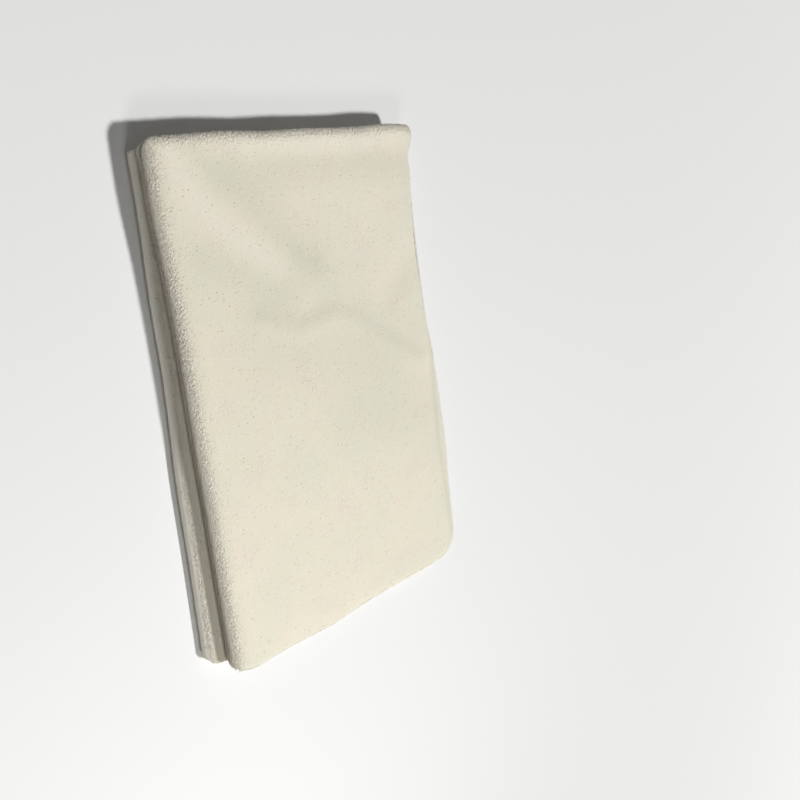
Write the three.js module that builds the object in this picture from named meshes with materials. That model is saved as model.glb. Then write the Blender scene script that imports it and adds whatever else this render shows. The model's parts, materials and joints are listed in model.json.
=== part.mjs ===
// A chamois leather, folded into a flat bundle. The skin is first folded in half, which gives two plies
// joined by an end fold, and the doubled skin is then folded as a zig-zag into four panels.
// The three zig-zag folds are the lines that open: each is split at its crest, where the skin hinges.
// Millimetres, +Z up. +X runs along the folds to the cut ends, -Y is the side with two fold edges.
import * as THREE from 'three';

// The skin
const plyThickness = 1.4;
const plySpace = 1.4; // air between the two plies of a panel
const panelGap = 0.5; // between one panel and the next
const hingeGap = 0.3; // between the two halves of a fold, at its crest
const jointGap = 0.3; // between regions of the skin that belong to one panel
const innerHalfOverhang = 1.2; // how much further the second half of the skin reaches at the cut ends

// The top panel's outline, which the other lines are placed from
const bundleLength = 307;
const bundleWidth = 200;

// The folds and edges of the zig-zag, from the bottom of the bundle up. Insets and overhangs are from
// the top panel's outline halfway along, shortfalls and reaches from its ends
const lowerTurn = THREE.MathUtils.degToRad(-1.9); // the lower two panels lie turned under the upper two
const lowerOverhang = 6;
const lowerFoldShortfall = 5.7;
const lowerCutShortfall = 8.2;
const rightTurn = THREE.MathUtils.degToRad(0.5);
const rightOverhang = 2;
const rightFoldShortfall = 2;
const rightCutShortfall = 1;
const bottomEdgeInset = 1.1;
const bottomFoldShortfall = 10;
const bottomCutReach = 9.8; // the bottom panel's corner shows past the top panel's cut end
const topEdgeTurn = THREE.MathUtils.degToRad(1.6);
const topEdgeInset = 1.4;

// Corners, seen from above
const foldedCornerRadius = 4;
const cutCornerRadius = 9;
const bottomCornerRadius = 6;
const topCornerRadius = 18;

const panelThickness = 2 * plyThickness + plySpace;
const panelPitch = panelThickness + panelGap;
const foldRadius = panelPitch - panelGap / 2; // of a fold's outside
const endRadius = panelThickness / 2; // of an end fold's outside
const halfLength = bundleLength / 2;
const halfWidth = bundleWidth / 2;
const foldSteps = 7; // in a quarter turn
const cornerSteps = 5;
const endSteps = 10; // in an end fold's half turn

// Lines on the bundle's plan: y where a line crosses the middle, its turn, its two ends in x, the way out,
// how much of a panel's side its bend takes, and the radius of its corner at the cut end
const leftward = -1;
const rightward = 1;
const bendReach = foldRadius + jointGap;
const bottomEdge = {
  middleY: halfWidth - bottomEdgeInset,
  turn: lowerTurn,
  lowX: bottomFoldShortfall - halfLength,
  highX: halfLength + bottomCutReach,
  out: rightward,
  bend: 0,
  cutRadius: bottomCornerRadius,
};
const lowerLeftFold = {
  middleY: -halfWidth - lowerOverhang,
  turn: lowerTurn,
  lowX: lowerFoldShortfall - halfLength,
  highX: halfLength - lowerCutShortfall,
  out: leftward,
  bend: bendReach,
  cutRadius: cutCornerRadius,
};
const rightFold = {
  middleY: halfWidth + rightOverhang,
  turn: rightTurn,
  lowX: rightFoldShortfall - halfLength,
  highX: halfLength - rightCutShortfall,
  out: rightward,
  bend: bendReach,
  cutRadius: cutCornerRadius,
};
const upperLeftFold = {
  middleY: -halfWidth,
  turn: 0,
  lowX: -halfLength,
  highX: halfLength,
  out: leftward,
  bend: bendReach,
  cutRadius: cutCornerRadius,
};
const topEdge = {
  middleY: halfWidth - topEdgeInset,
  turn: topEdgeTurn,
  lowX: -halfLength,
  highX: halfLength,
  out: rightward,
  bend: 0,
  cutRadius: topCornerRadius,
};

function alongOf(line) {
  return new THREE.Vector3(Math.cos(line.turn), Math.sin(line.turn), 0);
}

function outOf(line) {
  return new THREE.Vector3(-Math.sin(line.turn), Math.cos(line.turn), 0).multiplyScalar(line.out);
}

// The point of a line at a distance along it, moved out and up
function pointOn(line, x, out, z) {
  const point = new THREE.Vector3(0, line.middleY, z);
  return point.addScaledVector(alongOf(line), x).addScaledVector(outOf(line), out);
}

// How far a rounded corner takes an end back, at a distance inside the outline
function cornerTrim(inside, radius) {
  const left = Math.max(0, radius - inside);
  return radius - Math.sqrt(Math.max(0, radius * radius - left * left));
}

// A station is one cross-section of the doubled skin: its middle as a function of x, its normal and its ends
function foldStation(line, angle, centreZ, side) {
  const middleRadius = panelPitch / 2 - hingeGap / 2;
  const centre = centreZ + side * hingeGap / 2;
  const reach = middleRadius * Math.sin(angle);
  const rise = side * middleRadius * Math.cos(angle);
  const normal = outOf(line).multiplyScalar(Math.sin(angle));
  normal.z = side * Math.cos(angle);
  const inside = foldRadius - reach;
  return {
    middle: (x) => pointOn(line, x, reach - foldRadius, centre + rise),
    normal,
    low: line.lowX + cornerTrim(inside, foldedCornerRadius),
    high: line.highX - cornerTrim(inside, line.cutRadius),
  };
}

// Half of a fold, from its panel to its crest. side is -1 for the half under the crest and 1 for the other
function halfFold(line, centreZ, side) {
  const stations = [];
  for (let i = 0; i <= foldSteps; i += 1) {
    stations.push(foldStation(line, (i / foldSteps) * Math.PI / 2, centreZ, side));
  }
  return stations;
}

// How far inside a line a panel's stations lie: first where the line's bend ends, then round its corners
function insetsAt(line) {
  const radius = Math.max(foldedCornerRadius, line.cutRadius);
  const insets = [line.bend];
  for (let i = 1; i <= cornerSteps; i += 1) {
    const inside = radius * (1 - Math.cos((i / cornerSteps) * Math.PI / 2));
    if (inside > line.bend) {
      insets.push(inside);
    }
  }
  return insets;
}

// The stations of a panel's flat part near one of its two lines, at one height
function stationsBeside(line, other, z) {
  const width = Math.abs(line.middleY - other.middleY);
  return insetsAt(line).map((inside) => {
    const share = inside / width;
    const low = THREE.MathUtils.lerp(line.lowX, other.lowX, share);
    const high = THREE.MathUtils.lerp(line.highX, other.highX, share);
    return {
      middle: (x) => pointOn(line, x, 0, z).lerp(pointOn(other, x, 0, z), share),
      normal: new THREE.Vector3(0, 0, 1),
      low: low + cornerTrim(inside, foldedCornerRadius),
      high: high - cornerTrim(inside, line.cutRadius),
    };
  });
}

// Sections are closed outlines of [end, x, h]: x counts from the folded end (low) or the cut end (high)
function plySection(lower, overhang) {
  const bottom = lower ? -panelThickness / 2 : panelThickness / 2 - plyThickness;
  const start = endRadius + jointGap;
  return [
    ['low', start, bottom], ['high', overhang, bottom],
    ['high', overhang, bottom + plyThickness], ['low', start, bottom + plyThickness],
  ];
}

function endArc(radius, down) {
  const points = [];
  for (let i = 0; i <= endSteps; i += 1) {
    const angle = Math.PI * (down ? 1 - i / endSteps : i / endSteps);
    points.push(['low', endRadius - radius * Math.sin(angle), -radius * Math.cos(angle)]);
  }
  return points;
}

function endFoldSection() {
  return [...endArc(endRadius, false), ...endArc(endRadius - plyThickness, true)];
}

// Both plies and the end fold that joins them, for the bends of the zig-zag
function doubledSection(lowerReach, upperReach) {
  const inner = plySpace / 2;
  const outer = panelThickness / 2;
  return [
    ['high', lowerReach, -outer], ...endArc(endRadius, false), ['high', upperReach, outer],
    ['high', upperReach, inner], ...endArc(endRadius - plyThickness, true), ['high', lowerReach, -inner],
  ];
}

function sectionPoint(station, [end, x, h]) {
  const along = end === 'low' ? station.low + x : station.high + x;
  return station.middle(along).addScaledVector(station.normal, h);
}

function signedVolume(positions, faces) {
  const [a, b, c] = [new THREE.Vector3(), new THREE.Vector3(), new THREE.Vector3()];
  let sum = 0;
  for (let i = 0; i < faces.length; i += 3) {
    a.fromArray(positions, 3 * faces[i]);
    b.fromArray(positions, 3 * faces[i + 1]);
    c.fromArray(positions, 3 * faces[i + 2]);
    sum += a.dot(b.cross(c));
  }
  return sum / 6;
}

// One closed body: a section carried along the stations, with its two ends capped
function sweep(stations, section) {
  const count = section.length;
  const positions = stations.flatMap((station) => section.flatMap((p) => sectionPoint(station, p).toArray()));
  const faces = [];
  for (let i = 0; i + 1 < stations.length; i += 1) {
    for (let j = 0; j < count; j += 1) {
      const k = (j + 1) % count;
      const [a, b, c, d] = [i * count + j, i * count + k, (i + 1) * count + k, (i + 1) * count + j];
      faces.push(a, b, c, a, c, d);
    }
  }
  const { low, high } = stations[0];
  const outline = section.map(([end, x, h]) => new THREE.Vector2((end === 'low' ? low : high) + x, h));
  const last = (stations.length - 1) * count;
  const way = Math.sign(THREE.ShapeUtils.area(outline));
  for (const [a, b, c] of THREE.ShapeUtils.triangulateShape(outline, [])) {
    const sameWay = way * THREE.ShapeUtils.area([a, b, c].map((i) => outline[i])) > 0;
    const [p, q] = sameWay ? [b, c] : [c, b];
    faces.push(a, q, p, last + a, last + p, last + q);
  }
  if (signedVolume(positions, faces) < 0) {
    for (let i = 0; i < faces.length; i += 3) {
      [faces[i + 1], faces[i + 2]] = [faces[i + 2], faces[i + 1]];
    }
  }
  const geometry = new THREE.BufferGeometry();
  geometry.setAttribute('position', new THREE.Float32BufferAttribute(positions, 3));
  geometry.setIndex(faces);
  geometry.computeVertexNormals();
  return geometry;
}

const leather = new THREE.Group();

function addRegion(name, geometry, colour) {
  const finish = new THREE.MeshStandardMaterial({ color: colour, roughness: 0.95, metalness: 0 });
  const mesh = new THREE.Mesh(geometry, finish);
  mesh.name = name;
  leather.add(mesh);
}

// A panel's two plies and its end fold. firstHalfIsLower says which ply is of the skin's first half
function addPanel(name, level, from, to, firstHalfIsLower) {
  const z = level * panelPitch + panelThickness / 2;
  const stations = [...stationsBeside(from, to, z), ...stationsBeside(to, from, z).reverse()];
  const [lowerReach, upperReach] = firstHalfIsLower ? [0, innerHalfOverhang] : [innerHalfOverhang, 0];
  addRegion(`${name}_lower_ply`, sweep(stations, plySection(true, lowerReach)), '#ded8c4');
  addRegion(`${name}_upper_ply`, sweep(stations, plySection(false, upperReach)), '#e8e2cf');
  addRegion(`${name}_end_fold`, sweep(stations, endFoldSection()), '#d8d2be');
}

// A zig-zag fold between a panel and the next one up, as the two halves that meet at its crest
function addFold(name, level, line, firstHalfIsOuter) {
  const centreZ = (level + 1) * panelPitch - panelGap / 2;
  const reaches = firstHalfIsOuter ? [innerHalfOverhang, 0] : [0, innerHalfOverhang];
  addRegion(`${name}_lower_half`, sweep(halfFold(line, centreZ, -1), doubledSection(...reaches)), '#cfc9b4');
  addRegion(`${name}_upper_half`, sweep(halfFold(line, centreZ, 1), doubledSection(...reaches)), '#d3cdb9');
}

addPanel('bottom_panel', 0, bottomEdge, lowerLeftFold, true);
addFold('lower_left_fold', 0, lowerLeftFold, true);
addPanel('second_panel', 1, lowerLeftFold, rightFold, false);
addFold('right_fold', 1, rightFold, false);
addPanel('third_panel', 2, rightFold, upperLeftFold, true);
addFold('upper_left_fold', 2, upperLeftFold, true);
addPanel('top_panel', 3, upperLeftFold, topEdge, false);

export default leather;
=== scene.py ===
# A cream chamois leather, folded double and then as a zig-zag into a flat bundle. Blender 4.5, metres.
import json
import math

import bpy
import numpy as np
from mathutils import Matrix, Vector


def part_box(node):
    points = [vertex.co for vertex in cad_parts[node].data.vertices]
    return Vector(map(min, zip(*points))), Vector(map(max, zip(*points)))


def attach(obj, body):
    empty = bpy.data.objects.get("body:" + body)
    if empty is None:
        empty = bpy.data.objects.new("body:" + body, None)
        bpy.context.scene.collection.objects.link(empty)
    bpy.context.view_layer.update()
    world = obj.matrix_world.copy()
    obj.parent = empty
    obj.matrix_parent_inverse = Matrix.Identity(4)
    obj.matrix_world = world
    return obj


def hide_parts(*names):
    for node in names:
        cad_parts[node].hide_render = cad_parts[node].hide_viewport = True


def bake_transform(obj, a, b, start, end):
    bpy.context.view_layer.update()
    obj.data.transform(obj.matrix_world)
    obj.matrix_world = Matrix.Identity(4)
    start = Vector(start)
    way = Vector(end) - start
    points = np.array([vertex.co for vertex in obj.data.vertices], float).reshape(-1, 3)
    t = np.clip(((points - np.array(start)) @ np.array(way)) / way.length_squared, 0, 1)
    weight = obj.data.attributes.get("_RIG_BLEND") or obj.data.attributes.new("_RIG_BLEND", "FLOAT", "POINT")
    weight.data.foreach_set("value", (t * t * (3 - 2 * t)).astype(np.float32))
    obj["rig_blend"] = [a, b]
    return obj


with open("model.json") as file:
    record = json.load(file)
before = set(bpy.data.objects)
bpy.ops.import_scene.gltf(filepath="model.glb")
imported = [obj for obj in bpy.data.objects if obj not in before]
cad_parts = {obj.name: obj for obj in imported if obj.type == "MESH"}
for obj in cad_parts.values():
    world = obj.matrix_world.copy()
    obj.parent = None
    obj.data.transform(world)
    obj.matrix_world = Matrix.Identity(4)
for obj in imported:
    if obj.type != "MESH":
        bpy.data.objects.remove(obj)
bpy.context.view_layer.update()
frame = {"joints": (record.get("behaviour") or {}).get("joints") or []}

mm = 0.001  # the values below are in millimetres and degrees, unless a note says otherwise

# The bundle. Heights and fold lines come from the frame
joints = {joint["name"]: joint for joint in frame["joints"]}
lowPly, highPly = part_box("top_panel_lower_ply"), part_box("top_panel_upper_ply")
bundle = {
    "ply": 1.6,  # drawn thickness of the skin, with its nap
    "panel": (highPly[1][2] - lowPly[0][2]) / mm,
    "pitch": (joints["right_fold"]["pos_m"][2] - joints["lower_left_fold"]["pos_m"][2]) / mm,
    "panelLength": 300.0,  # about, from the folded end to the cut end
    "overhang": 1.2,  # of the skin's second half at the cut ends
    "overhangFrom": (6, 26),  # from a fold's crest, where that overhang begins and where it is full
    "cornerPower": 2.2,  # 2 rounds a corner as an ellipse, and more leaves it squarer
}
halfPanel = bundle["panel"] / 2
halfGap = (bundle["panel"] - bundle["ply"]) / 2  # from a panel's middle to the middle of each ply
bendRadius = bundle["pitch"] / 2
foldReach = bendRadius + halfPanel  # of a fold's outside from the middle of its bend
steps = {  # of the mesh
    "rim": 4,  # rows round a quarter of a rim
    "arc": 10,  # columns round the folded end
    "firstHalf": 2.0,  # between columns
    "secondHalf": 5.0,
    "topRows": 2.0,  # between rows
    "hiddenRows": 4.0,
    "least": 0.6,
    "atEdge": 0.3,  # share of a step between the first rows at a panel's edge
    "last": 0.4,  # share of a step: where less is left at the panel's middle, one row is left out
    "bend": 5.0,  # degrees between rows round a fold
    "crest": 1.5,  # and near its crest, from that many degrees on
    "crestFrom": 73,
}
spreads = {  # from a panel's edge, over which its rows open out to whole steps
    "fold": 4,
    "foldOfEdgePanel": 8,
    "bottomEdge": 6,
    "topEdge": 18,
}


def foldLine(name, out, ends, corners, wave):
    joint = joints[name]
    turn = math.atan(joint["axis"][1] / joint["axis"][0])
    return {"y": joint["pos_m"][1] / mm, "z": joint["pos_m"][2] / mm, "turn": turn, "out": out,
            "ends": ends, "corners": corners, "wave": wave, "bend": foldReach}


def edgeLine(y, turn, out, ends, corners, wave):
    return {"y": y, "turn": math.radians(turn), "out": out, "ends": ends, "corners": corners,
            "wave": wave, "bend": 0.0}


# Ends are at the folded end and the cut end. Each corner there is (along, skip, above, below): rounded
# that far along the line, and that far across it on the panel above and on the panel below. The skip
# is how far in the rounding begins on the panel below.
# Each wave is how far the line stands out from the straight, as (place along it, distance)
lines = {
    "bottomEdge": edgeLine(
        y=98.9, turn=-1.9, out=1, ends=(-143.5, 163.3), corners=((4, 0, 4, 4), (6, 0, 6, 6)),
        wave=[(-144, 0), (-60, 1), (40, -1.2), (164, 0)]),
    "lowerLeft": foldLine(
        "lower_left_fold", out=-1, ends=(-147.8, 145.3), corners=((1.5, 0, 2, 3), (9, 4, 19, 10)),
        wave=[(-148, 0.8), (-121, 0.2), (-60, 0.5), (-30, -0.2), (0, 0.3), (25, 1.2), (80, 1.0),
              (146, 1.2)]),
    "right": foldLine(
        "right_fold", out=1, ends=(-151.5, 152.5), corners=((4, 0, 6, 6), (9, 0, 9, 9)),
        wave=[(-152, -1), (-80, -0.6), (0, 0.6), (60, -0.3), (110, 0.4), (153, -0.6)]),
    "upperLeft": foldLine(
        "upper_left_fold", out=-1, ends=(-153.5, 153.5), corners=((10, 2, 7, 14), (9, 4, 19, 10)),
        wave=[(-154, -0.8), (-117, 0.2), (-80, -1.2), (20, -0.9), (60, -0.8), (93, -0.3), (154, 0.5)]),
    "topEdge": edgeLine(
        y=98.6, turn=1.6, out=1, ends=(-153.5, 153.5), corners=((4, 0, 4, 4), (18, 0, 18, 18)),
        wave=[(-154, 5.4), (-146, 5.2), (-137, 1.2), (-120, -0.3), (-78, -3.4), (-35, -2.3), (0, 1.0),
              (20, 2.0), (45, 2.4), (69, 2.8), (95, 1.2), (130, 0.3), (154, -0.2)]),
}
# Each panel lies between two lines. Its first is 1 where the skin's first half is its upper ply.
# The waves of its folded end and its cut end are given as (place across the panel, distance)
panels = {
    "bottom": {"level": 0, "lines": ("bottomEdge", "lowerLeft"), "first": -1},
    "second": {"level": 1, "lines": ("lowerLeft", "right"), "first": 1},
    "third": {"level": 2, "lines": ("right", "upperLeft"), "first": -1},
    "top": {"level": 3, "lines": ("upperLeft", "topEdge"), "first": 1,
            "foldedWave": [(-100, -1.2), (-70, 0), (-50, 0.7), (-23, 0.1), (0, 0.8), (30, 0.9), (53, 1.3),
                           (70, 2.3), (85, 2.4), (100, 1.5)],
            "cutWave": [(-100, -1.4), (-70, -0.3), (-45, 0.4), (-23, 1.1), (0, -0.1), (36, -1.6),
                        (60, -0.8), (100, -1.2)]},
}
straight = [(-100, 0), (100, 0)]  # of the panels with no wave of their own

# Soft dents in the top face: points along each, half width and depth. A depth below zero is a ridge
dents = [
    ([(-139, -30), (-139, 94)], 6, 0.45),
    ([(-122, -10), (-121, 94)], 8, -0.3),
    ([(-49, -42), (-39, -16), (-43, 15), (-33, 38), (-16, 60), (2, 89)], 5, -0.65),
    ([(-62, -20), (-58, -14)], 7, -0.6),
    ([(-70, 88), (-57, 66)], 7, 0.4),
    ([(-50, 92), (-38, 72)], 6, -0.3),
    ([(42, 88), (50, 74)], 8, -0.25),
    ([(152, -70), (158, 90)], 4, 0.4),
    ([(158, 98), (160, 99)], 13, 0.7),
]
# Strokes painted on the top face's colour: points, half width and how dull. Below zero is paler. Partly its
# own uneven colour, partly painted shade and painted light of its soft waves; the last is painted shade
# along its free edge
toneAndShadeStrokes = [
    ([(-141, -70), (-122, -47), (-102, -32), (-84, -13), (-76, 4)], 12, 0.45),
    ([(-88, -76), (-76, -51), (-62, -24)], 8, 0.35),
    ([(-84, -12), (-76, 2)], 6, 0.4),
    ([(-51, -44), (-41, -18), (-45, 13), (-36, 35), (-19, 57), (-1, 86)], 4, 0.3),
    ([(-35, -35), (-22, 10), (-12, 60)], 20, 0.35),
    ([(22, 20), (42, 80)], 17, 0.3),
    ([(-145, 20), (-100, 30), (-88, 90)], 24, -0.35),
    ([(-142, -86), (-120, -74), (-98, -51), (-76, -24)], 8, -0.9),
    ([(-148, -60), (-147, 94)], 5, -0.6),
    ([(-131, -5), (-130, 92)], 7, 0.15),
    ([(-140, 99), (-78, 101), (0, 98), (60, 96), (140, 101)], 1.6, 0.7),
]
# Below its crest the upper left fold stands out further at the folded end
flare = {"fold": "upperLeft", "from": -139, "to": -147, "out": 1.2}
# Section of the left folds: a narrow round crest, from which the skin rises softly to the panel above.
# The crest's middle lies that far out from, and up over, the middle of the whole bend. The skin leaves
# it at that many degrees from straight up, and ends up that far over the panel
crests = {
    "lowerLeft": {"above": "second", "out": 1.4, "up": -0.8, "round": 2.7, "leave": 36, "over": 0.0},
    "upperLeft": {"above": "top", "out": 3.5, "up": 1.1, "round": 1.5, "leave": 31, "over": 0.2},
}
crestSkin = 1.5  # least thickness of the skin there
crestEnd = 122  # degrees from straight up, where the fold's outside is a plain round bend again
crestSearch = (0.5, 1.25, 600)  # shares of the plain bend's reach, and how many are tried
rest = {  # how the plies lie on each other
    "calm": 16,  # from a fold, over which they begin to settle
    "dentCalm": 5,  # the same for the dents
    "topMean": 0.3,  # how far the top face has sunk
    "topRipple": 0.05,
    "topRippleLength": 46,
    "upperMean": 0.42,  # and the plies under it
    "lowerMean": 0.16,
    "ripple": 0.16,
    "rippleLength": 60,
    "rough": 0.3,  # of the cut ends
    "roughLength": 30,
    "roughSeed": 50,
}
waves = {"count": 9, "lengths": (0.7, 1.5)}  # of a ripple, as shares of its length


def through(points, x):  # a smooth curve through given points
    xs, ys = np.array(points, float).T
    slope = np.gradient(ys, xs)
    x = np.clip(x, xs[0], xs[-1])
    i = np.clip(np.searchsorted(xs, x) - 1, 0, len(xs) - 2)
    h = xs[i + 1] - xs[i]
    t = (x - xs[i]) / h
    return ((1 + 2 * t) * (1 - t) ** 2 * ys[i] + t * (1 - t) ** 2 * h * slope[i]
            + t * t * (3 - 2 * t) * ys[i + 1] + t * t * (t - 1) * h * slope[i + 1])


def ease(x, start, end):  # from 0 to 1
    t = np.clip((x - start) / (end - start), 0, 1)
    return t * t * (3 - 2 * t)


def ripple(seed, length, x, y):  # a smooth field of random waves about that long
    draw = np.random.default_rng(seed)
    total = np.zeros_like(np.asarray(x + y, float))
    for _ in range(waves["count"]):
        angle, phase = draw.uniform(0, 2 * math.pi, 2)
        k = 2 * math.pi / (length * draw.uniform(*waves["lengths"]))
        total += np.sin(k * (math.cos(angle) * x + math.sin(angle) * y) + phase)
    return total / math.sqrt(waves["count"])


def strokes(marks, x, y):  # the sum of soft strokes through given points
    total = np.zeros_like(x)
    for points, width, amount in marks:
        away = np.full_like(x, np.inf)
        for (x1, y1), (x2, y2) in zip(points, points[1:]):
            along, across = x2 - x1, y2 - y1
            share = np.clip(((x - x1) * along + (y - y1) * across) / (along ** 2 + across ** 2), 0, 1)
            away = np.minimum(away, np.hypot(x - x1 - share * along, y - y1 - share * across))
        total += amount * np.exp(-(away / width) ** 2 / 2)
    return total


def settle(name, upper, x, y, calm, near):  # how far a ply has sunk onto the other ply of its panel
    seed = 10 * panels[name]["level"] + upper
    if name == "bottom" and not upper:
        return np.zeros_like(x)
    if name == "top" and upper:
        wave = rest["topRipple"] * ripple(seed, rest["topRippleLength"], x, y)
        return calm * (rest["topMean"] + wave) + near * strokes(dents, x, y)
    mean = rest["upperMean"] if upper else rest["lowerMean"]
    return calm * (mean + rest["ripple"] * ripple(seed, rest["rippleLength"], x, y))


def widthOf(name):  # of a panel, between its two lines
    a, b = panels[name]["lines"]
    return abs(lines[a]["y"] - lines[b]["y"])


def pointOn(line, x):  # seen from above, at x along the line
    turn = line["turn"]
    out = line["out"] * through(line["wave"], x)
    return math.cos(turn) * x - math.sin(turn) * out, line["y"] + math.sin(turn) * x + math.cos(turn) * out


def cornerTrim(path, above, corner):  # what a rounded corner takes off a row's end
    along, skip, acrossAbove, acrossBelow = corner
    power = bundle["cornerPower"]
    share = path / acrossAbove if above else (path - skip) / acrossBelow
    left = 1 - min(1.0, max(0.0, share))
    return along * (1 - (1 - left ** power) ** (1 / power))


def leavePoint(crest):  # where the skin leaves the crest: out, up and steepness
    leave = math.radians(crest["leave"])
    return (crest["out"] + crest["round"] * math.sin(leave), crest["up"] + crest["round"] * math.cos(leave),
            math.tan(leave))


def riseAt(crest, y):  # height of the skin's outside over the middle of a left fold's bend
    out, low, steep = leavePoint(crest)
    full = foldReach + crest["over"] - low
    return low + full * (1 - np.exp(-(y + out) * steep / full))


def crestReach(crest, theta):  # of the skin's outside from that middle, at an angle from straight up
    towardY, towardZ = -math.sin(theta), math.cos(theta)
    reach = np.linspace(*crestSearch) * foldReach
    y, z = reach * towardY, reach * towardZ
    own = crest["round"] - np.hypot(y + crest["out"], z - crest["up"])
    rising = np.where(y >= -leavePoint(crest)[0], riseAt(crest, y) - z, -1.0)
    level = crest["out"] + math.sqrt(crest["round"] ** 2 - crest["up"] ** 2)
    below = level + (foldReach - level) * ease(theta, math.pi / 2, math.radians(crestEnd))
    return float(reach[(own >= 0) | (rising >= 0)].max(initial=below if theta > math.pi / 2 else 0))


def moved(reach):  # of the outer ply's two sides, from their places on a plain round bend
    return reach - foldReach, min(0.0, reach - crestSkin - (foldReach - bundle["ply"]))


hinge = {  # at a fold's crest the skin turns between two rows, and no other point is at that height
    "clear": 0.03,  # least distance of every point from the crest's height
    "band": 0.02,  # on each side of that height, over which the skin turns
    "nearest": 87.0,  # degrees round the bend, at which the last row before the crest lies
}


def levelsOf(name):  # the heights that a panel keeps between, from the crest below to the crest above
    middle = panels[name]["level"] * bundle["pitch"] + halfPanel
    reach = bendRadius - hinge["clear"]
    return max(0.0, middle - reach), math.inf if name == "top" else middle + reach


rimRadius = bundle["ply"] / 2
rimAngles = np.linspace(0, math.pi / 2, steps["rim"] + 1)
rimPlaces = rimRadius * (1 - np.cos(rimAngles))
rimShares = np.sin(rimAngles)


# A row of the mesh runs along a fold or a panel. Its facing is the way out of the skin's first half
def flatRow(name, side, inside, thin=1.0):  # on a panel, that far inside one of its two lines
    panel = panels[name]
    line, other = (lines[key] for key in panel["lines"][::1 if side == 0 else -1])
    row = {"panel": name, "line": line, "other": other, "inside": inside, "outside": inside,
           "height": panel["level"] * bundle["pitch"] + halfPanel, "thin": thin,
           "path": inside + (line["bend"] > 0) * foldReach * (math.pi / 2 - 1),
           "facing": (0.0, panel["first"])}
    for crest in crests.values():
        if crest["above"] == name:
            fromFold = inside if side == 0 else widthOf(name) - inside
            row["moved"] = moved(float(riseAt(crest, fromFold - foldReach)))
    return row


def bendRow(key, name, angle):  # round a fold, at an angle from straight down
    line = lines[key]
    other = next(lines[k] for k in panels[name]["lines"] if k != key)
    sign = 1 if line["out"] < 0 else -1  # the first half is outside the second at the left folds
    turn = math.sin(angle)
    flared = flare["out"] * max(0.0, math.sin(2 * angle)) * (key == flare["fold"])
    return {"panel": name, "line": line, "other": other, "inside": foldReach - bendRadius * turn,
            "outside": foldReach * (1 - turn), "height": line["z"] - bendRadius * math.cos(angle),
            "path": foldReach * abs(angle - math.pi / 2), "flare": flared,
            "moved": moved(crestReach(crests[key], math.pi - angle)) if key in crests else (0.0, 0.0),
            "thin": 1.0, "facing": (sign * turn, -sign * math.cos(angle))}


def placeOf(row, x, h):  # of a point at x along the row and h from its middle
    line, other = row["line"], row["other"]
    share = (row["inside"] - h * row["facing"][0]) / abs(other["y"] - line["y"])
    nearX, nearY = pointOn(line, x)
    nearY = nearY + line["out"] * row.get("flare", 0) * ease(-x, -flare["from"], -flare["to"])
    farX, farY = pointOn(other, x)
    height = row["height"] + h * row["facing"][1]
    return nearX + (farX - nearX) * share, nearY + (farY - nearY) * share, height


def rowEnds(row):  # where the folded end begins and where each half of the skin is cut off
    line, other, panel = row["line"], row["other"], panels[row["panel"]]
    share = row["inside"] / abs(other["y"] - line["y"])
    low, high = (a + (b - a) * share for a, b in zip(line["ends"], other["ends"]))
    above = row["height"] >= line["z"] if line["bend"] else row["panel"] == "top"
    lowTrim, highTrim = (cornerTrim(row["path"], above, corner) for corner in line["corners"])
    middle = line["y"] - line["out"] * row["inside"]
    low += lowTrim - float(through(panel.get("foldedWave", straight), middle))
    wave = float(through(panel.get("cutWave", straight), middle))
    overhang = bundle["overhang"] * float(ease(row["path"], *bundle["overhangFrom"]) if line["bend"] else 1)
    highs = []
    for half, extra in enumerate((wave, overhang)):
        seed = rest["roughSeed"] + 10 * panel["level"] + half
        rough = rest["rough"] * float(ripple(seed, rest["roughLength"], middle, 0.0))
        highs.append(high + extra + rough - highTrim)
    return low, highs


def columnsOf(row):  # from the first half's cut end, round the folded end, to the second half's
    low, highs = rowEnds(row)
    start = low + halfPanel
    counts = [round(bundle["panelLength"] / steps[half]) for half in ("firstHalf", "secondHalf")]
    arc = math.pi * np.arange(1, steps["arc"]) / steps["arc"]
    x = np.concatenate([highs[0] - rimPlaces, np.linspace(highs[0] - rimRadius, start, counts[0] + 1)[1:],
                        start - halfGap * np.sin(arc),
                        np.linspace(start, highs[1] - rimRadius, counts[1] + 1)[:-1],
                        (highs[1] - rimPlaces)[::-1]])
    flats = [len(rimPlaces) + count for count in counts]
    zeros = [np.zeros(flat) for flat in flats]
    return {
        "x": x,
        "h": np.concatenate([zeros[0] + halfGap, halfGap * np.cos(arc), zeros[1] - halfGap]),
        "thin": np.concatenate([rimShares, np.ones(sum(counts) + len(arc)), rimShares[::-1]]),
        "along": np.concatenate([zeros[0], -np.sin(arc), zeros[1]]),
        "away": np.concatenate([zeros[0] + 1, np.cos(arc), zeros[1] - 1]),
        "skin": np.concatenate([x[:flats[0]] - start, -halfGap * arc,
                                start - x[-flats[1]:] - math.pi * halfGap]),
        "beyond": np.maximum(0, x - start),
    }


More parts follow.
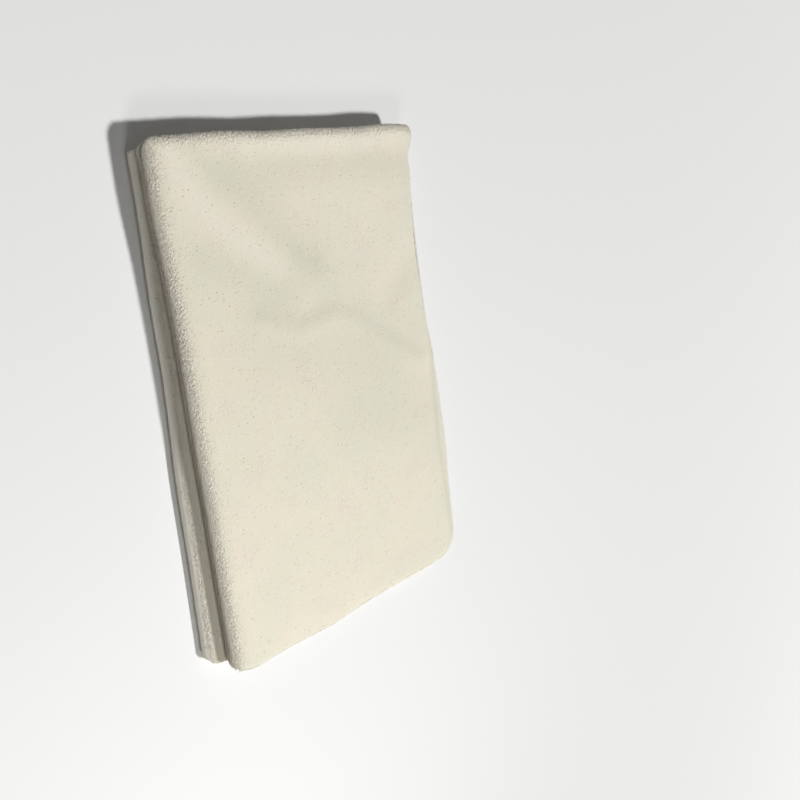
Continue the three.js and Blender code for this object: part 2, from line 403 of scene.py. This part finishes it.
# The nap is drawn several times coarser than real fibres, which are too fine to show
nap = {
    "density": 6.0,  # fibres per square millimetre where the nap stands up most
    "foldFade": 3.6,  # away from a fold's outside
    "endFade": 2.4,
    "endShare": 0.7,
    "rimShare": 0.5,
    "rimThin": 0.9,  # share of a ply's thickness, under which the skin counts as a rim
    "faceShare": 0.008,
    "length": 1.5,
    "radius": 0.155,
    "tip": (0.3, 0.95),  # how far it leans and stands, as shares of the length
    "sizes": (0.6, 1.25),
    "sparse": (0.4, 0.5),  # share of the nap under which fibres are shorter, and their least size
    "comb": (-0.6, 0.5, 0.3),
    "lift": 0.38,
    "scatter": 0.28,
    "seed": 7,
    "bare": {  # distances from a crest, between which the nap begins, so that the fold can open
        "lowerLeft": (1.2, 2.6),
        "right": (2.2, 3.4),
        "upperLeft": (0.0, 0.1),
    },
    "floor": (0.9, 2.0),  # no fibre starts below the one height, and all of them above the other
}


def napShares(row, columns):  # how far the nap stands up on the skin's outside
    outerHalf = columns["h"] * (1 if row["line"]["out"] < 0 else -1) > 0
    fold = math.exp(-row["outside"] / nap["foldFade"]) if row["line"]["bend"] else 0.0
    end = nap["endShare"] * np.exp(-columns["beyond"] / nap["endFade"])
    rim = nap["rimShare"] * ((columns["thin"] < nap["rimThin"]) | (row["thin"] < nap["rimThin"]))
    face = nap["faceShare"] * (row["panel"] in ("top", "second")) * (columns["h"] > 0)
    return np.maximum.reduce([fold * outerHalf, end, rim * np.ones_like(end), face])


def rowPoints(row):  # on both sides of the skin, with their places along it and their nap
    columns = columnsOf(row)
    x, h = columns["x"], columns["h"]
    half = bundle["ply"] / 2 * columns["thin"] * row["thin"]
    panel = panels[row["panel"]]
    farInside = abs(row["other"]["y"] - row["line"]["y"]) - row["inside"]
    insides = ((row["inside"], row["line"]), (farInside, row["other"]))
    free = [inside - line["bend"] for inside, line in insides if line["bend"]]
    calm, near = (float(ease(max(0.0, min(free)), 0, reach)) * ease(columns["beyond"], 0, reach)
                  for reach in (rest["calm"], rest["dentCalm"]))
    outward = np.maximum(0, columns["away"]) * (h > 0)
    outer, inner = row.get("moved", (0.0, 0.0))
    sides = []
    for sign, shift in ((1, inner + (outer - inner) * columns["thin"]), (-1, inner)):
        away = h + sign * columns["away"] * half + outward * shift
        px, py, pz = placeOf(row, x + sign * columns["along"] * half, away)
        for firstHalf in (True, False):
            upper = (panel["first"] > 0) == firstHalf
            move = settle(row["panel"], upper, px, py, calm, near)
            pz = pz + np.where((h > 0) == firstHalf, -move if upper else move, 0)
        sides.append(np.stack([px, py, np.clip(pz, *levelsOf(row["panel"]))], 1))
    return sides, columns["skin"], napShares(row, columns)


def bendRows(key, below, above):  # closest together at the crest, where the skin hinges
    middle = np.arange(hinge["nearest"], steps["crestFrom"], -steps["crest"])[::-1]
    half = np.concatenate([np.arange(0, steps["crestFrom"], steps["bend"]), middle])
    angles = np.concatenate([half, 180 - half[::-1]])
    return [bendRow(key, below if angle < 90 else above, math.radians(angle)) for angle in angles]


def panelRows(name, side, start, step, spread):  # to the panel's middle, closer together at its edge
    end = widthOf(name) / 2
    insides = [start]
    while insides[-1] < end:
        near = (insides[-1] - start) / spread
        share = steps["atEdge"] + (1 - steps["atEdge"]) * near
        insides.append(min(end, insides[-1] + (step if near > 1 else max(steps["least"], step * share))))
    if insides[-1] - insides[-2] < steps["last"] * step:
        insides.pop(-2)
    return [flatRow(name, side, inside) for inside in insides]


def edgePanelRows(name, freeSide, step, spread):  # from the free edge to the fold
    rim = [flatRow(name, freeSide, place, share) for place, share in zip(rimPlaces, rimShares)]
    outerPart = panelRows(name, freeSide, rimRadius, step, spread)[1:]
    foldPart = panelRows(name, 1 - freeSide, foldReach, step, spreads["foldOfEdgePanel"])
    return rim + outerPart + foldPart[-2::-1]


def quads(index, flip):  # faces between neighbouring rows and columns
    corners = [index[:-1, :-1], index[:-1, 1:], index[1:, 1:], index[1:, :-1]]
    if flip:
        corners.reverse()
    return np.stack(corners, -1).reshape(-1, 4)


def capFaces(grid, innerGrid, freeStart, freeEnd):  # across the skin where the next piece goes on
    caps = []
    for i, free in ((0, freeStart), (-1, freeEnd)):
        if not free:
            a, b = grid[i].tolist(), innerGrid[i].tolist()
            caps += [[b[j], b[j + 1], a[j + 1], a[j]][::1 if i == 0 else -1] for j in range(len(a) - 1)]
    return caps


def signedVolume(points, faces):  # above zero where the faces point outwards
    a, b, c, d = (points[faces[:, k]] for k in range(4))
    return float(np.sum(a * np.cross(b, c)) + np.sum(a * np.cross(c, d)))


def addObject(name, data):
    thing = bpy.data.objects.new(name, data)
    bpy.context.scene.collection.objects.link(thing)
    return thing


def addLayer(mesh, name, values):  # one number at each vertex
    mesh.attributes.new(name, "FLOAT", "POINT").data.foreach_set("value", values)


skinMesh = {
    "underside": (0, 1),  # metres further on in the leather's pattern, so that the two sides differ
    "ends": 20,  # columns that don't count when the flat size is measured
    "sharp": 60,  # degrees between faces, from which an edge is shaded sharp
}


def skinPiece(name, rows, freeStart, freeEnd):  # a closed sheet: both sides of the skin and its rims
    sides, skins, naps = zip(*(rowPoints(row) for row in rows))
    sides = np.array(sides) * mm
    outer, inner = sides[:, 0], sides[:, 1]
    rowCount, columnCount = outer.shape[:2]
    grid = np.arange(rowCount * columnCount).reshape(rowCount, columnCount)
    own = np.ones((rowCount, columnCount), bool)  # where the inner side has points of its own
    own[:, [0, -1]] = False
    own[0] &= not freeStart
    own[-1] &= not freeEnd
    innerGrid = grid.copy()
    innerGrid[own] = grid.size + np.arange(own.sum())
    points = np.concatenate([outer.reshape(-1, 3), inner[own]])
    faces = np.concatenate([quads(grid, False), quads(innerGrid, True)])
    caps = capFaces(grid, innerGrid, freeStart, freeEnd)
    across = np.linalg.norm(np.diff(outer[:, skinMesh["ends"]:-skinMesh["ends"]], axis=0), axis=2).mean(1)
    across = np.concatenate([[0], np.cumsum(across)])
    flat = np.stack([np.array(skins) * mm, np.repeat(across[:, None], columnCount, 1)], -1).reshape(-1, 2)
    places = np.concatenate([flat[quads(grid, False)], flat[quads(grid, True)] + skinMesh["underside"]])
    if signedVolume(points, faces) < 0:
        faces, places = faces[:, ::-1], places[:, ::-1]
        caps = [cap[::-1] for cap in caps]
    caps = [list(dict.fromkeys(cap)) for cap in caps]
    mesh = bpy.data.meshes.new(name)
    mesh.from_pydata(points.tolist(), [], faces.tolist() + caps)
    capPlaces = np.zeros((sum(len(cap) for cap in caps), 2))
    uv = np.concatenate([places.reshape(-1, 2), capPlaces]).ravel()
    mesh.uv_layers.new(name="skin").data.foreach_set("uv", uv)
    mesh.shade_smooth()
    mesh.set_sharp_from_angle(angle=math.radians(skinMesh["sharp"]))
    napShare = np.zeros(len(points))
    napShare[:grid.size] = np.array(naps).ravel()
    addLayer(mesh, "nap", napShare)
    onTop = points[:, 2] / mm > panels["top"]["level"] * bundle["pitch"] + halfPanel
    # the strokes painted on the top face: partly its own uneven colour, partly painted shade and painted
    # light
    addLayer(mesh, "tone", onTop * strokes(toneAndShadeStrokes, points[:, 0] / mm, points[:, 1] / mm))
    size = (float(across[-1]), float(flat[:, 0].max() - flat[:, 0].min()))
    print(name, len(points), "vertices, flat size", [round(side, 3) for side in size])
    return addObject(name, mesh), size


def foldPanelRows(name):  # both halves of a panel between two folds, each from its fold to the middle
    return [panelRows(name, side, foldReach, steps["hiddenRows"], spreads["fold"]) for side in (0, 1)]


secondLeft, secondRight = foldPanelRows("second")
thirdRight, thirdLeft = foldPanelRows("third")
leatherBottom, bottomSize = skinPiece(
    "leather_bottom",
    edgePanelRows("bottom", 0, steps["hiddenRows"], spreads["bottomEdge"])[:-1]
    + bendRows("lowerLeft", "bottom", "second") + secondLeft[1:], True, False)
leatherMiddle, middleSize = skinPiece(
    "leather_middle",
    secondRight[:0:-1] + bendRows("right", "second", "third") + thirdRight[1:], False, False)
leatherTop, topSize = skinPiece(
    "leather_top",
    thirdLeft[:0:-1] + bendRows("upperLeft", "third", "top")
    + edgePanelRows("top", 1, steps["topRows"], spreads["topEdge"])[-2::-1], False, True)


def linear(hexColour):
    parts = [int(hexColour[i:i + 2], 16) / 255 for i in (1, 3, 5)]
    return [p / 12.92 if p <= 0.04045 else ((p + 0.055) / 1.055) ** 2.4 for p in parts] + [1.0]


def addNode(tree, kind, inputs=(), **values):
    node = tree.nodes.new(kind)
    for key, value in values.items():
        setattr(node, key, value)
    for socket, value in dict(inputs).items():
        if isinstance(value, bpy.types.NodeSocket):
            tree.links.new(value, node.inputs[socket])
        else:
            node.inputs[socket].default_value = value
    return node


def newMaterial(name, finish):
    material = bpy.data.materials.new(name)
    material.use_nodes = True
    shader = material.node_tree.nodes["Principled BSDF"]
    for socket, value in finish.items():
        shader.inputs[socket].default_value = value
    return material, material.node_tree, shader


leather = {
    "colour": "#efe8d4",
    "greenish": "#eae7d3",
    "pinkish": "#f0e5d4",
    # dull and pale colour the top face's strokes, which are partly painted shade and painted light
    "dull": "#dedcc9",
    "pale": "#f6efdf",
    "napTint": "#ece8dc",  # greyer, less yellow colour where the nap stands up, most on the folds
    # the pores' colour is painted shade in their pits
    "pore": "#bbb29b",
    "patterns": {  # size, detail, roughness and distortion of each noise
        "mottle": (55, 2.0, 0.6, 0.0),
        "patch": (20, 1.0, 0.5, 0.0),
        "grain": (0.5, 2.0, 0.7, 0.0),  # the pile's own is ten times finer, too fine to show
        "streak": (1.1, 3.0, 0.65, 0.0),
        "crease": (2.6, 2.5, 0.6, 1.2),
    },
    "ranges": {  # the value at which each share begins, the value at which it is full, and the full share
        "greenish": (0.42, 0.62, 1.0),  # of the mottle
        "pinkish": (0.5, 0.75, 0.6),  # of the patches
        "creased": (0.48, 0.72, 3.4),
        "dull": (0.0, 1.0, 1.0),  # of the tone layer set on the mesh: partly painted shade and painted light
        "pale": (0.0, -1.0, 1.0),
        "napTint": (0.03, 0.5, 0.8),  # of the nap set on the mesh
        "pit": (0.26, 0.05, 0.55),  # of the distance from a pore's middle, in spacings
        "chosen": (-0.2, 0.5, 1.0),  # of a chance for each pore, less the patches: pores lie in groups
    },
    "poreSpacing": 2.4,
    "poreDepth": 3.0,  # in the relief's own units
    "combTurn": 40,  # degrees, of the streaks in the pile
    "combStretch": 3.5,
    "relief": 0.3,  # height of the bump
    "reliefShare": 0.7,
    "finish": {
        "Roughness": 0.95,
        "Specular IOR Level": 0.12,
        "Sheen Weight": 0.12,
        "Sheen Roughness": 0.6,
        "Subsurface Weight": 0.25,  # light spreads inside the soft skin
        "Subsurface Radius": (1.0, 0.85, 0.6),
        "Subsurface Scale": 1.2 * mm,
    },
}


# Oil-tanned split skin, buffed to a suede on both sides. To the eye it is soft and matt, unevenly cream,
# with scattered pores and patches of fine creases. Painted shade and painted light lie in its colour too:
# strokes on the top face, and the pores' darker pits
def chamoisLeather():
    material, tree, shader = newMaterial("chamois leather", leather["finish"])
    place = addNode(tree, "ShaderNodeUVMap", uv_map="skin").outputs[0]
    combed = addNode(tree, "ShaderNodeMapping", {
        "Vector": place, "Rotation": (0, 0, math.radians(leather["combTurn"])),
        "Scale": (1, leather["combStretch"], 1)}).outputs[0]
    noise = {}
    for name, (size, detail, roughness, distortion) in leather["patterns"].items():
        noise[name] = addNode(tree, "ShaderNodeTexNoise", {
            "Vector": combed if name == "streak" else place, "Scale": 1 / (size * mm), "Detail": detail,
            "Roughness": roughness, "Distortion": distortion}).outputs["Fac"]
    # the tone layer: strokes painted on the top face, partly its own colour, partly painted shade and
    # painted light
    toneAndShadeSet = addNode(tree, "ShaderNodeAttribute", attribute_name="tone").outputs["Fac"]
    napSet = addNode(tree, "ShaderNodeAttribute", attribute_name="nap").outputs["Fac"]
    pores = addNode(tree, "ShaderNodeTexVoronoi", {
        "Vector": place, "Scale": 1 / (leather["poreSpacing"] * mm), "Randomness": 1.0}).outputs
    chance = addNode(tree, "ShaderNodeSeparateColor", {"Color": pores["Color"]}).outputs[0]
    chosen = addNode(tree, "ShaderNodeMath", {
        0: chance, 1: noise["patch"]}, operation="SUBTRACT").outputs[0]
    sources = {
        "greenish": noise["mottle"], "pinkish": noise["patch"], "creased": noise["patch"],
        "dull": toneAndShadeSet, "pale": toneAndShadeSet, "napTint": napSet, "pit": pores["Distance"], "chosen": chosen}
    share = {}
    for name, source in sources.items():
        start, full, most = leather["ranges"][name]
        share[name] = addNode(tree, "ShaderNodeMapRange", {
            "Value": source, "From Min": start, "From Max": full, "To Max": most}).outputs[0]
    # where a pore lies: its pit is dug in the bump, and its colour is darkened as painted shade
    share["pore"] = addNode(tree, "ShaderNodeMath", {
        0: share["pit"], 1: share["chosen"]}, operation="MULTIPLY").outputs[0]
    # of these, pore is painted shade in the pits, and dull and pale carry the top face's painted strokes
    tone = linear(leather["colour"])
    for colour in ("greenish", "pinkish", "dull", "pale", "napTint", "pore"):
        tone = addNode(tree, "ShaderNodeMix", {
            0: share[colour], 6: tone, 7: linear(leather[colour])}, data_type="RGBA").outputs[2]
    tree.links.new(tone, shader.inputs["Base Color"])
    half = 0.5  # the middle value of a noise
    creases = addNode(tree, "ShaderNodeMath", {0: noise["crease"], 1: half}, operation="SUBTRACT")
    relief = addNode(tree, "ShaderNodeMath", {0: noise["grain"], 1: noise["streak"]}, operation="ADD")
    relief = addNode(tree, "ShaderNodeMath", {
        0: creases.outputs[0], 1: share["creased"], 2: relief.outputs[0]}, operation="MULTIPLY_ADD")
    relief = addNode(tree, "ShaderNodeMath", {
        0: share["pore"], 1: -leather["poreDepth"], 2: relief.outputs[0]}, operation="MULTIPLY_ADD")
    bump = addNode(tree, "ShaderNodeBump", {
        "Strength": leather["reliefShare"], "Distance": leather["relief"] * mm,
        "Height": relief.outputs[0]})
    tree.links.new(bump.outputs[0], shader.inputs["Normal"])
    return material


def chamoisNap():  # raised fibres of the same skin: a pale fluff with no shine, which softens every edge
    finish = {"Base Color": linear("#efeade"), "Roughness": 1.0, "Specular IOR Level": 0.05}
    return newMaterial("chamois nap", finish)[0]


chamois, napMaterial = chamoisLeather(), chamoisNap()
for piece in (leatherBottom, leatherMiddle, leatherTop):
    piece.data.materials.append(chamois)
print("materials are done")


def fibreObject():  # one leaning, pointed fibre
    length, radius = nap["length"] * mm, nap["radius"] * mm
    lean, stand = nap["tip"]
    turns = [2 * math.pi * k / 3 for k in range(3)]
    points = [(radius * math.cos(turn), radius * math.sin(turn), 0) for turn in turns]
    points.append((lean * length, 0, stand * length))
    mesh = bpy.data.meshes.new("fibre")
    mesh.from_pydata(points, [], [(2, 1, 0), (0, 1, 3), (1, 2, 3), (2, 0, 3)])
    mesh.shade_smooth()
    return bpy.data.objects.new("fibre", mesh)


def napGroup():
    tree = bpy.data.node_groups.new("chamois nap", "GeometryNodeTree")
    sockets = {"Geometry": "Geometry", "Share": "String", "Density": "Float", "Fibre": "Object",
               "Comb": "Vector", "Lift": "Float", "Scatter": "Float", "Seed": "Int", "Material": "Material"}
    for name, kind in sockets.items():
        tree.interface.new_socket(name, in_out="INPUT", socket_type="NodeSocket" + kind)
    tree.interface.new_socket("Geometry", in_out="OUTPUT", socket_type="NodeSocketGeometry")
    given = addNode(tree, "NodeGroupInput").outputs
    share = addNode(tree, "GeometryNodeInputNamedAttribute", {"Name": given["Share"]}, data_type="FLOAT")
    density = addNode(tree, "ShaderNodeMath", {
        0: share.outputs["Attribute"], 1: given["Density"]}, operation="MULTIPLY")
    roots = addNode(tree, "GeometryNodeDistributePointsOnFaces", {
        "Mesh": given["Geometry"], "Density": density.outputs[0], "Seed": given["Seed"]})
    normal = roots.outputs["Normal"]
    # The comb direction without its upright part lies on the skin. The lift and some chance are added
    upright = addNode(tree, "ShaderNodeVectorMath", {0: given["Comb"], 1: normal}, operation="DOT_PRODUCT")
    upright = addNode(tree, "ShaderNodeVectorMath", {
        0: normal, "Scale": upright.outputs["Value"]}, operation="SCALE")
    lying = addNode(tree, "ShaderNodeVectorMath", {
        0: given["Comb"], 1: upright.outputs[0]}, operation="SUBTRACT")
    lifted = addNode(tree, "ShaderNodeVectorMath", {0: normal, "Scale": given["Lift"]}, operation="SCALE")
    way = addNode(tree, "ShaderNodeVectorMath", {
        0: lying.outputs[0], 1: lifted.outputs[0]}, operation="ADD")
    chance = addNode(tree, "FunctionNodeRandomValue", {
        0: (-1, -1, -1), 1: (1, 1, 1), "Seed": given["Seed"]}, data_type="FLOAT_VECTOR")
    chance = addNode(tree, "ShaderNodeVectorMath", {
        0: chance.outputs[0], "Scale": given["Scatter"]}, operation="SCALE")
    way = addNode(tree, "ShaderNodeVectorMath", {0: way.outputs[0], 1: chance.outputs[0]}, operation="ADD")
    stand = addNode(tree, "FunctionNodeAlignRotationToVector", {"Vector": way.outputs[0]}, axis="Z")
    full, shortest = nap["sparse"]
    grown = addNode(tree, "ShaderNodeMapRange", {
        "Value": share.outputs["Attribute"], "From Max": full, "To Min": shortest})
    least, most = nap["sizes"]
    size = addNode(tree, "FunctionNodeRandomValue", {
        2: least, 3: most, "Seed": given["Seed"]}, data_type="FLOAT")
    size = addNode(tree, "ShaderNodeMath", {0: size.outputs[1], 1: grown.outputs[0]}, operation="MULTIPLY")
    fibre = addNode(tree, "GeometryNodeObjectInfo", {"Object": given["Fibre"]})
    fibres = addNode(tree, "GeometryNodeInstanceOnPoints", {
        "Points": roots.outputs["Points"], "Instance": fibre.outputs["Geometry"],
        "Rotation": stand.outputs[0], "Scale": size.outputs[0]})
    real = addNode(tree, "GeometryNodeRealizeInstances", {"Geometry": fibres.outputs[0]})
    dressed = addNode(tree, "GeometryNodeSetMaterial", {
        "Geometry": real.outputs[0], "Material": given["Material"]})
    addNode(tree, "NodeGroupOutput", {"Geometry": dressed.outputs[0]})
    return tree


fibre, group = fibreObject(), napGroup()
socketOf = {item.name: item.identifier for item in group.interface.items_tree if item.in_out == "INPUT"}


def growNap(piece, name, key, above, seed):  # on the part of the skin that lies on one side of a crest
    mesh = piece.data
    count = len(mesh.vertices)
    places, shares = np.empty(count * 3), np.empty(count)
    mesh.vertices.foreach_get("co", places)
    mesh.attributes["nap"].data.foreach_get("value", shares)
    heights = places[2::3] / mm
    overCrest = heights - lines[key]["z"]
    shares[(overCrest > 0) != above] = 0
    shares *= ease(np.abs(overCrest), *nap["bare"][key]) * ease(heights, *nap["floor"])
    addLayer(mesh, "napHere", shares)
    modifier = piece.modifiers.new("nap", "NODES")
    modifier.node_group = group
    values = {"Share": "napHere", "Density": nap["density"] / mm ** 2, "Fibre": fibre, "Comb": nap["comb"],
              "Lift": nap["lift"], "Scatter": nap["scatter"], "Seed": nap["seed"] + seed,
              "Material": napMaterial}
    for socket, value in values.items():
        modifier[socketOf[socket]] = value
    graph = bpy.context.evaluated_depsgraph_get()
    grown = bpy.data.meshes.new_from_object(piece.evaluated_get(graph), depsgraph=graph)
    piece.modifiers.remove(modifier)
    mesh.attributes.remove(mesh.attributes["napHere"])
    grown.name = name
    for layer in list(grown.attributes):
        if layer.name in ("nap", "napHere", "tone"):
            grown.attributes.remove(layer)
    print(name, len(grown.polygons), "faces")
    return addObject(name, grown)


folds = [
    (leatherBottom, bottomSize, "bottom", "second", "lowerLeft"),
    (leatherMiddle, middleSize, "second", "third", "right"),
    (leatherTop, topSize, "third", "top", "upperLeft"),
]
for number, (piece, size, below, above, key) in enumerate(folds):
    for name, isAbove in ((below, False), (above, True)):
        grown = growNap(piece, f"nap_{key}_{name}", key, isAbove, 2 * number + isAbove)
        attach(grown, name + "_panel")
    crest, band = lines[key]["z"] * mm, hinge["band"] * mm
    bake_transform(piece, below + "_panel", above + "_panel",
             start=(0, 0, crest - band), end=(0, 0, crest + band))
bpy.data.objects.remove(fibre)


def plies(name):
    return [f"{name}_panel_{part}" for part in ("lower_ply", "upper_ply", "end_fold")]


def foldHalves(name):
    return [f"{name}_fold_{part}" for part in ("lower_half", "upper_half")]


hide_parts(*plies("bottom"), *foldHalves("lower_left"))
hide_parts(*plies("second"), *plies("third"), *foldHalves("right"))
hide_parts(*plies("top"), *foldHalves("upper_left"))
print("skin and nap are done")

floorReach = 4  # metres from the middle to each side
floorMesh = bpy.data.meshes.new("floor")
floorCorners = [(x * floorReach, y * floorReach, 0) for x, y in ((-1, -1), (1, -1), (1, 1), (-1, 1))]
floorMesh.from_pydata(floorCorners, [], [(0, 1, 2, 3)])
floor = addObject("floor", floorMesh)


def paleFloor():  # uncoated paper: plain and matt, so that only the bundle's soft shadow shows on it
    finish = {"Base Color": linear("#f1f1f0"), "Roughness": 0.9, "Specular IOR Level": 0.1}
    return newMaterial("pale paper floor", finish)[0]


floorMesh.materials.append(paleFloor())

light = {  # places and sizes in metres, powers in watts
    "world": 0.12,  # strength of the soft light from all sides
    "key": (3.45, 3.50, 6.30),  # a far lamp that casts the shadows
    "keySize": 0.8,
    "keyPower": 545.0,
    "fill": (0.36, -0.2, 0.42),  # a near lamp that lights the cut ends more
    "fillSize": 0.15,
    "fillPower": 0.66,
}
world = bpy.data.worlds.new("studio")
bpy.context.scene.world = world
world.use_nodes = True
worldTree = world.node_tree
worldTree.nodes.clear()
rays = addNode(worldTree, "ShaderNodeLightPath").outputs
seen = addNode(worldTree, "ShaderNodeMath", {
    0: rays["Is Camera Ray"], 1: rays["Is Glossy Ray"]}, operation="MAXIMUM")
seen = addNode(worldTree, "ShaderNodeMath", {
    0: seen.outputs[0], 1: rays["Is Transmission Ray"]}, operation="MAXIMUM")
soft = addNode(worldTree, "ShaderNodeBackground", {"Color": (1, 1, 1, 1), "Strength": light["world"]})
white = addNode(worldTree, "ShaderNodeBackground", {"Color": (1, 1, 1, 1), "Strength": 1.0})
mixed = addNode(worldTree, "ShaderNodeMixShader", {
    0: seen.outputs[0], 1: soft.outputs[0], 2: white.outputs[0]})
addNode(worldTree, "ShaderNodeOutputWorld", {"Surface": mixed.outputs[0]})


def lamp(name, place, size, power):  # a square lamp that looks at the bundle
    data = bpy.data.lights.new(name, "AREA")
    data.size = size
    data.energy = power
    thing = addObject(name, data)
    thing.visible_camera = False
    back = np.array(place) / np.linalg.norm(place)
    right = np.cross((0, 0, 1), back)
    right /= np.linalg.norm(right)
    axes = np.array([right, np.cross(back, right), back, place]).T
    thing.matrix_world = Matrix(axes.tolist() + [[0, 0, 0, 1]])


lamp("key lamp", light["key"], light["keySize"], light["keyPower"])
lamp("fill lamp", light["fill"], light["fillSize"], light["fillPower"])

view = {
    "place": (-0.10797, -0.33315, 0.40647),  # metres
    "heading": 71.3547,  # degrees from the x axis
    "below": 43.0079,  # degrees under level
    "roll": 96.4027,  # degrees, as the photograph is turned on its side
    "lens": 37.315,
    "sensor": 36,
}
bpy.context.scene.view_settings.view_transform = "Standard"
camera = bpy.data.cameras.new("camera")
camera.lens = view["lens"]
camera.sensor_width = view["sensor"]
cameraObject = addObject("camera", camera)
cameraTurn = Matrix.Translation(view["place"])
for degrees, axis in ((view["heading"] - 90, "Z"), (90 - view["below"], "X"), (view["roll"], "Z")):
    cameraTurn = cameraTurn @ Matrix.Rotation(math.radians(degrees), 4, axis)
cameraObject.matrix_world = cameraTurn
bpy.context.scene.camera = cameraObject
print("floor, lamps and camera are done")
